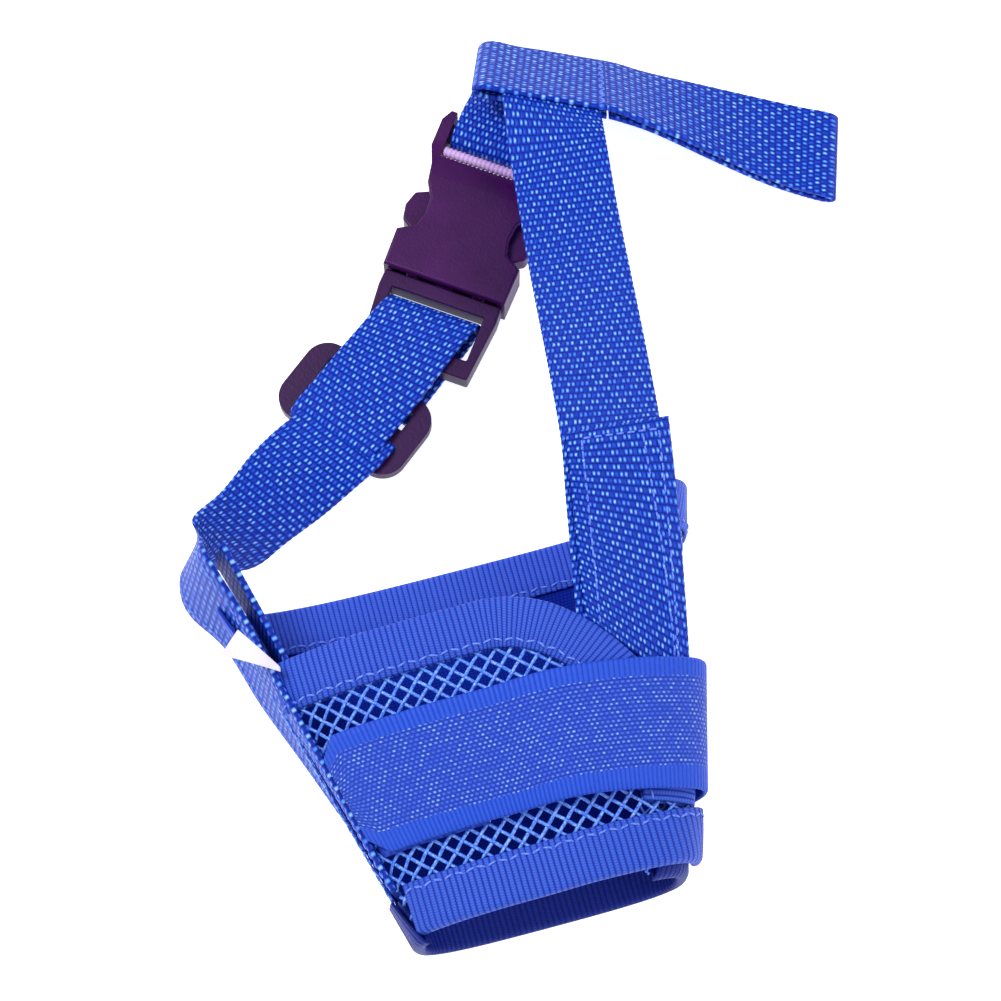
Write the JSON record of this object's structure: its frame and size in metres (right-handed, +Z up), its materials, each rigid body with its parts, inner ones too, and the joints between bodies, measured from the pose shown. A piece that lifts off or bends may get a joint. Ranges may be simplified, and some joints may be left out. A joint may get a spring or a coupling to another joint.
{
  "type": "soft sleeve muzzle",
  "caption": "Soft tapered mesh sleeve muzzle with taped edges, a hook-and-loop closure strap and a webbing neck strap with side release buckle, adjuster slide and grab loop.",
  "frame": {"origin": "centre of the bounding box in plan, on the surface that the muzzle lies on", "axes": "+Z up, +Y along the sleeve from its nose end to its face end, +X towards the wearer's right side of the sleeve as it lies"},
  "size_m": [0.1988, 0.2308, 0.0484],
  "materials": {
    "mesh": "open diamond net knitted from thin blue strands",
    "binding": "blue ribbed grosgrain tape, folded over the edge and stitched",
    "webbing": "blue woven webbing with rows of raised picks",
    "hook_tape": "blue hook tape with plain woven selvedges",
    "loop_tape": "blue brushed loop tape",
    "buckle_plastic": "dark violet moulded acetal with a fine matte texture",
    "label": "white satin ribbon, blank",
    "thread": "blue polyester sewing thread"
  },
  "bodies": {
    "sleeve": {"back_mesh_panel": "mesh", "face_binding": "binding", "nose_binding_back": "binding", "spine_strap": "webbing", "inner_strap": "webbing", "size_label": "label", "right_strap_root": "webbing", "strap_end_patch": "webbing", "closure_strap_base": "hook_tape", "closure_strap_side": "hook_tape"},
    "flap": {"front_mesh_flap": "mesh", "flap_binding": "binding", "flap_end_binding": "binding", "nose_binding_front": "binding", "loop_tape": "loop_tape"},
    "closure": {"closure_strap": "hook_tape"},
    "neck_loop": {"left_strap_bend": "webbing", "left_strap_upper": "webbing", "right_strap_bend": "webbing", "neck_strap": "webbing", "buckle_female": "buckle_plastic", "grab_tunnel": "webbing", "grab_stitching": "thread"},
    "buckle_plug": {"buckle_male": "buckle_plastic", "adjuster_loop": "webbing"},
    "latch_left": {"latch_arm_left": "buckle_plastic"},
    "latch_right": {"latch_arm_right": "buckle_plastic"},
    "slide": {"tri_glide": "buckle_plastic"},
    "handle": {"grab_handle": "webbing"}
  },
  "joints": [
    {"name": "neck_swing", "type": "hinge", "parent": "sleeve", "child": "neck_loop", "pos_m": [-0.01472, -0.00452, 0.036], "axis": [1, 0, 0], "range_deg": [0, 84], "deforming": ["left_strap_bend", "right_strap_bend"]},
    {"name": "buckle_release", "type": "slide", "parent": "neck_loop", "child": "buckle_plug", "axis": [-0.5807, -0.8141, 0], "range_m": [0, 0.024], "deforming": ["left_strap_upper", "latch_arm_left", "latch_arm_right"]},
    {"name": "latch_squeeze_left", "type": "hinge", "parent": "buckle_plug", "child": "latch_left", "pos_m": [-0.02177, 0.05575, 0.0064], "axis": [0, 0, -1], "range_deg": [0, 11], "stiffness_Nm_per_rad": 0.05},
    {"name": "latch_squeeze_right", "type": "hinge", "parent": "buckle_plug", "child": "latch_right", "pos_m": [-0.00712, 0.0453, 0.0064], "axis": [0, 0, 1], "range_deg": [0, 11]},
    {"name": "adjuster_slide", "type": "slide", "parent": "buckle_plug", "child": "slide", "axis": [0.7771, 0.6293, 0], "range_m": [-0.01, 0.0025], "deforming": ["adjuster_loop"]},
    {"name": "handle_lift", "type": "hinge", "parent": "neck_loop", "child": "handle", "pos_m": [0.03977, 0.08943, 0.0195], "axis": [-0.2125, -0.7961, 0.5666], "range_deg": [0, 100]},
    {"name": "closure_peel", "type": "hinge", "parent": "sleeve", "child": "closure", "pos_m": [0.01713, -0.06392, 0.01819], "axis": [0.2715, 0.9616, 0.0404], "range_deg": [0, 105], "deforming": ["closure_strap"]},
    {"name": "flap_lift", "type": "hinge", "parent": "sleeve", "child": "flap", "pos_m": [-0.07055, -0.08071, 0.03145], "axis": [0.2449, -0.967, -0.0708], "range_deg": [0, 36.75]}
  ],
  "couplings": [
    {"joint": "latch_squeeze_right", "follows": "latch_squeeze_left", "ratio": 1},
    {"joint": "flap_lift", "follows": "closure_peel", "ratio": 0.35}
  ]
}
